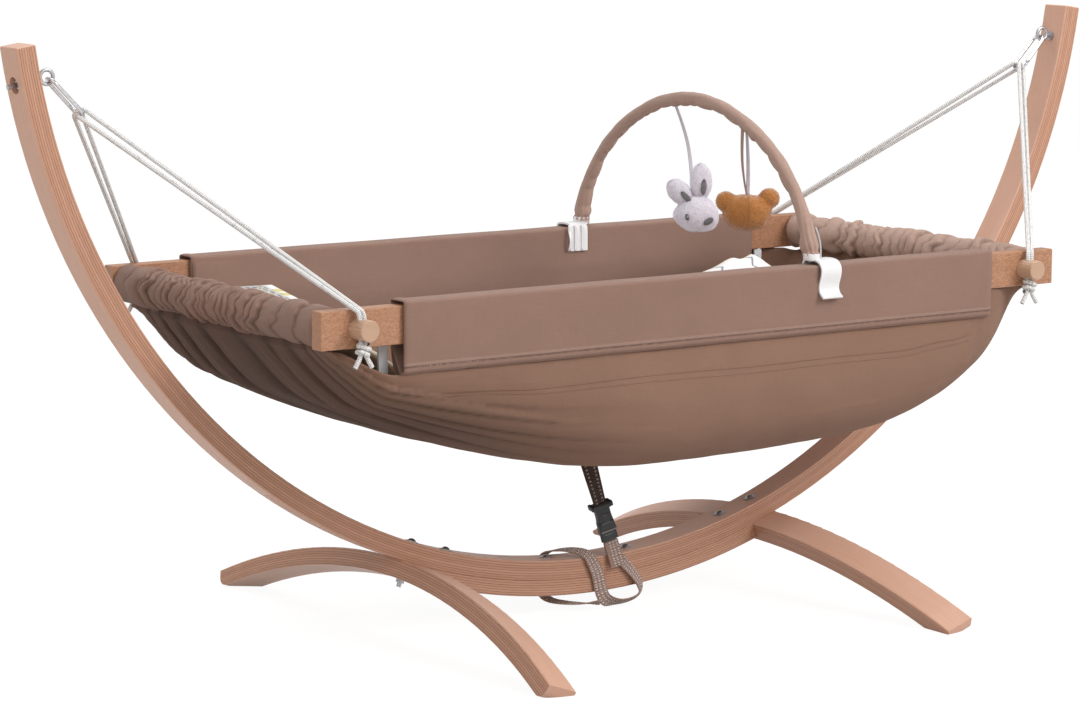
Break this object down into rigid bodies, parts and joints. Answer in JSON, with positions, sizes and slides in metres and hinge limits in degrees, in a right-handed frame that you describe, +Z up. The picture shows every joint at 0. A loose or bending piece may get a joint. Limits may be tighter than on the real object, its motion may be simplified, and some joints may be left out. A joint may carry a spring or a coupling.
{
  "type": "baby hammock",
  "caption": "Cloth cradle on two wooden rails with a mattress and toy arch, hung by ropes and snap hooks from a bentwood arc stand on two arched feet",
  "frame": {"origin": "on the floor, midway between the feet and under the middle of the arc", "axes": "+X along the hammock to its right end, +Y to the back, +Z up"},
  "size_m": [1.6156, 0.742, 0.741],
  "materials": {
    "arc_wood": "beech laminate, satin varnish, fine glue lines on the edges",
    "zinc_steel": "zinc plated, lightly polished",
    "hook_steel": "nickel plated, polished",
    "rope": "braided white cord with a grey fleck",
    "rail_wood": "fine fleck, satin varnish, eased edges",
    "canvas": "close plain weave, matt taupe",
    "pad_cloth": "printed cotton, white with a grey zigzag and pale yellow",
    "white_tape": "woven tape, soft sheen",
    "rod_plastic": "plain extruded rod",
    "white_plastic": "moulded, glossy",
    "white_plush": "short plush",
    "ochre_plush": "short plush",
    "brown_webbing": "dark webbing with white dotted stitches",
    "light_webbing": "ribbed webbing with white threads",
    "black_plastic": "moulded, semi-matt"
  },
  "bodies": {
    "stand": {"left_arm": "arc_wood", "right_arm": "arc_wood", "centre_beam": "arc_wood", "left_foot": "arc_wood", "right_foot": "arc_wood", "foot_bolts": "zinc_steel", "foot_washers": "zinc_steel", "foot_nuts": "zinc_steel", "beam_bolts": "zinc_steel", "beam_washers": "zinc_steel", "sleeve_nuts": "zinc_steel", "eye_bolts": "zinc_steel", "eye_nuts": "zinc_steel", "strap_hitch": "light_webbing"},
    "hooks": {"snap_hooks": "hook_steel", "gate_rivets": "hook_steel"},
    "left_gate_body": {"left_gate": "hook_steel"},
    "right_gate_body": {"right_gate": "hook_steel"},
    "left_ropes": {"front_left_rope": "rope", "back_left_rope": "rope"},
    "right_ropes": {"front_right_rope": "rope", "back_right_rope": "rope"},
    "cradle": {"rope_knots": "rope", "front_rail": "rail_wood", "back_rail": "rail_wood", "cross_bars": "rail_wood", "pegs": "rail_wood", "sling": "canvas", "front_sleeve": "canvas", "back_sleeve": "canvas", "left_end_sleeve": "canvas", "right_end_sleeve": "canvas", "mattress": "pad_cloth", "corner_tapes": "white_tape"},
    "toy_arch": {"arch_cover": "canvas", "arch_rod": "rod_plastic", "arch_clips": "white_plastic"},
    "rabbit": {"rabbit_head": "white_plush", "rabbit_left_ear": "white_plush", "rabbit_right_ear": "white_plush", "rabbit_ribbon": "white_tape"},
    "bear": {"bear_head": "ochre_plush", "bear_left_ear": "ochre_plush", "bear_right_ear": "ochre_plush", "bear_ribbon": "white_tape"},
    "strap_upper": {"upper_webbing": "brown_webbing", "buckle_socket": "black_plastic"},
    "strap_lower": {"buckle_plug": "black_plastic", "lower_webbing": "light_webbing"}
  },
  "joints": [
    {"name": "cradle_swing", "type": "hinge", "parent": "stand", "child": "hooks", "pos_m": [0, 0, 0.69659], "axis": [1, 0, 0], "range_deg": [-7, 7]},
    {"name": "sway_left", "type": "hinge", "parent": "hooks", "child": "left_ropes", "pos_m": [-0.71524, 0, 0.65887], "axis": [0, 1, 0], "range_deg": [-5, 5], "deforming": ["front_left_rope", "back_left_rope"]},
    {"name": "sway_cradle", "type": "hinge", "parent": "left_ropes", "child": "cradle", "pos_m": [-0.501, 0, 0.4385], "axis": [0, 1, 0], "range_deg": [-8, 8]},
    {"name": "sway_right", "type": "hinge", "parent": "hooks", "child": "right_ropes", "pos_m": [0.71524, 0, 0.65887], "axis": [0, 1, 0], "range_deg": [-6, 6], "deforming": ["front_right_rope", "back_right_rope"]},
    {"name": "left_gate_turn", "type": "hinge", "parent": "hooks", "child": "left_gate_body", "pos_m": [-0.72287, 0.00992, 0.66665], "axis": [0.7169, 0, 0.6972], "range_deg": [0, 20], "stiffness_Nm_per_rad": 0.02, "springref_deg": -11.46},
    {"name": "right_gate_turn", "type": "hinge", "parent": "hooks", "child": "right_gate_body", "pos_m": [0.72287, -0.00992, 0.66665], "axis": [-0.7169, 0, 0.6972], "range_deg": [0, 20], "stiffness_Nm_per_rad": 0.02, "springref_deg": -11.46},
    {"name": "arch_slide", "type": "slide", "parent": "cradle", "child": "toy_arch", "axis": [1, 0, 0], "range_m": [-0.5, 0.2]},
    {"name": "rabbit_swing", "type": "hinge", "parent": "toy_arch", "child": "rabbit", "pos_m": [0.162, 0.03893, 0.63781], "axis": [0, 0.9873, -0.1589], "range_deg": [-25, 25]},
    {"name": "bear_swing", "type": "hinge", "parent": "toy_arch", "child": "bear", "pos_m": [0.162, -0.10826, 0.61583], "axis": [0, 0.9105, 0.4135], "range_deg": [-25, 25]},
    {"name": "strap_lean", "type": "hinge", "parent": "cradle", "child": "strap_upper", "pos_m": [0, 0, 0.1947], "axis": [1, 0, 0], "range_deg": [-30, 30]},
    {"name": "buckle_release", "type": "slide", "parent": "strap_upper", "child": "strap_lower", "axis": [0.2063, -0.1857, -0.9607], "range_m": [0, 0.018], "deforming": ["lower_webbing"]}
  ],
  "couplings": [
    {"joint": "sway_cradle", "follows": "sway_left", "ratio": -1.4276},
    {"joint": "sway_right", "follows": "sway_left", "ratio": 1},
    {"joint": "strap_lean", "follows": "cradle_swing", "ratio": -4.1}
  ]
}
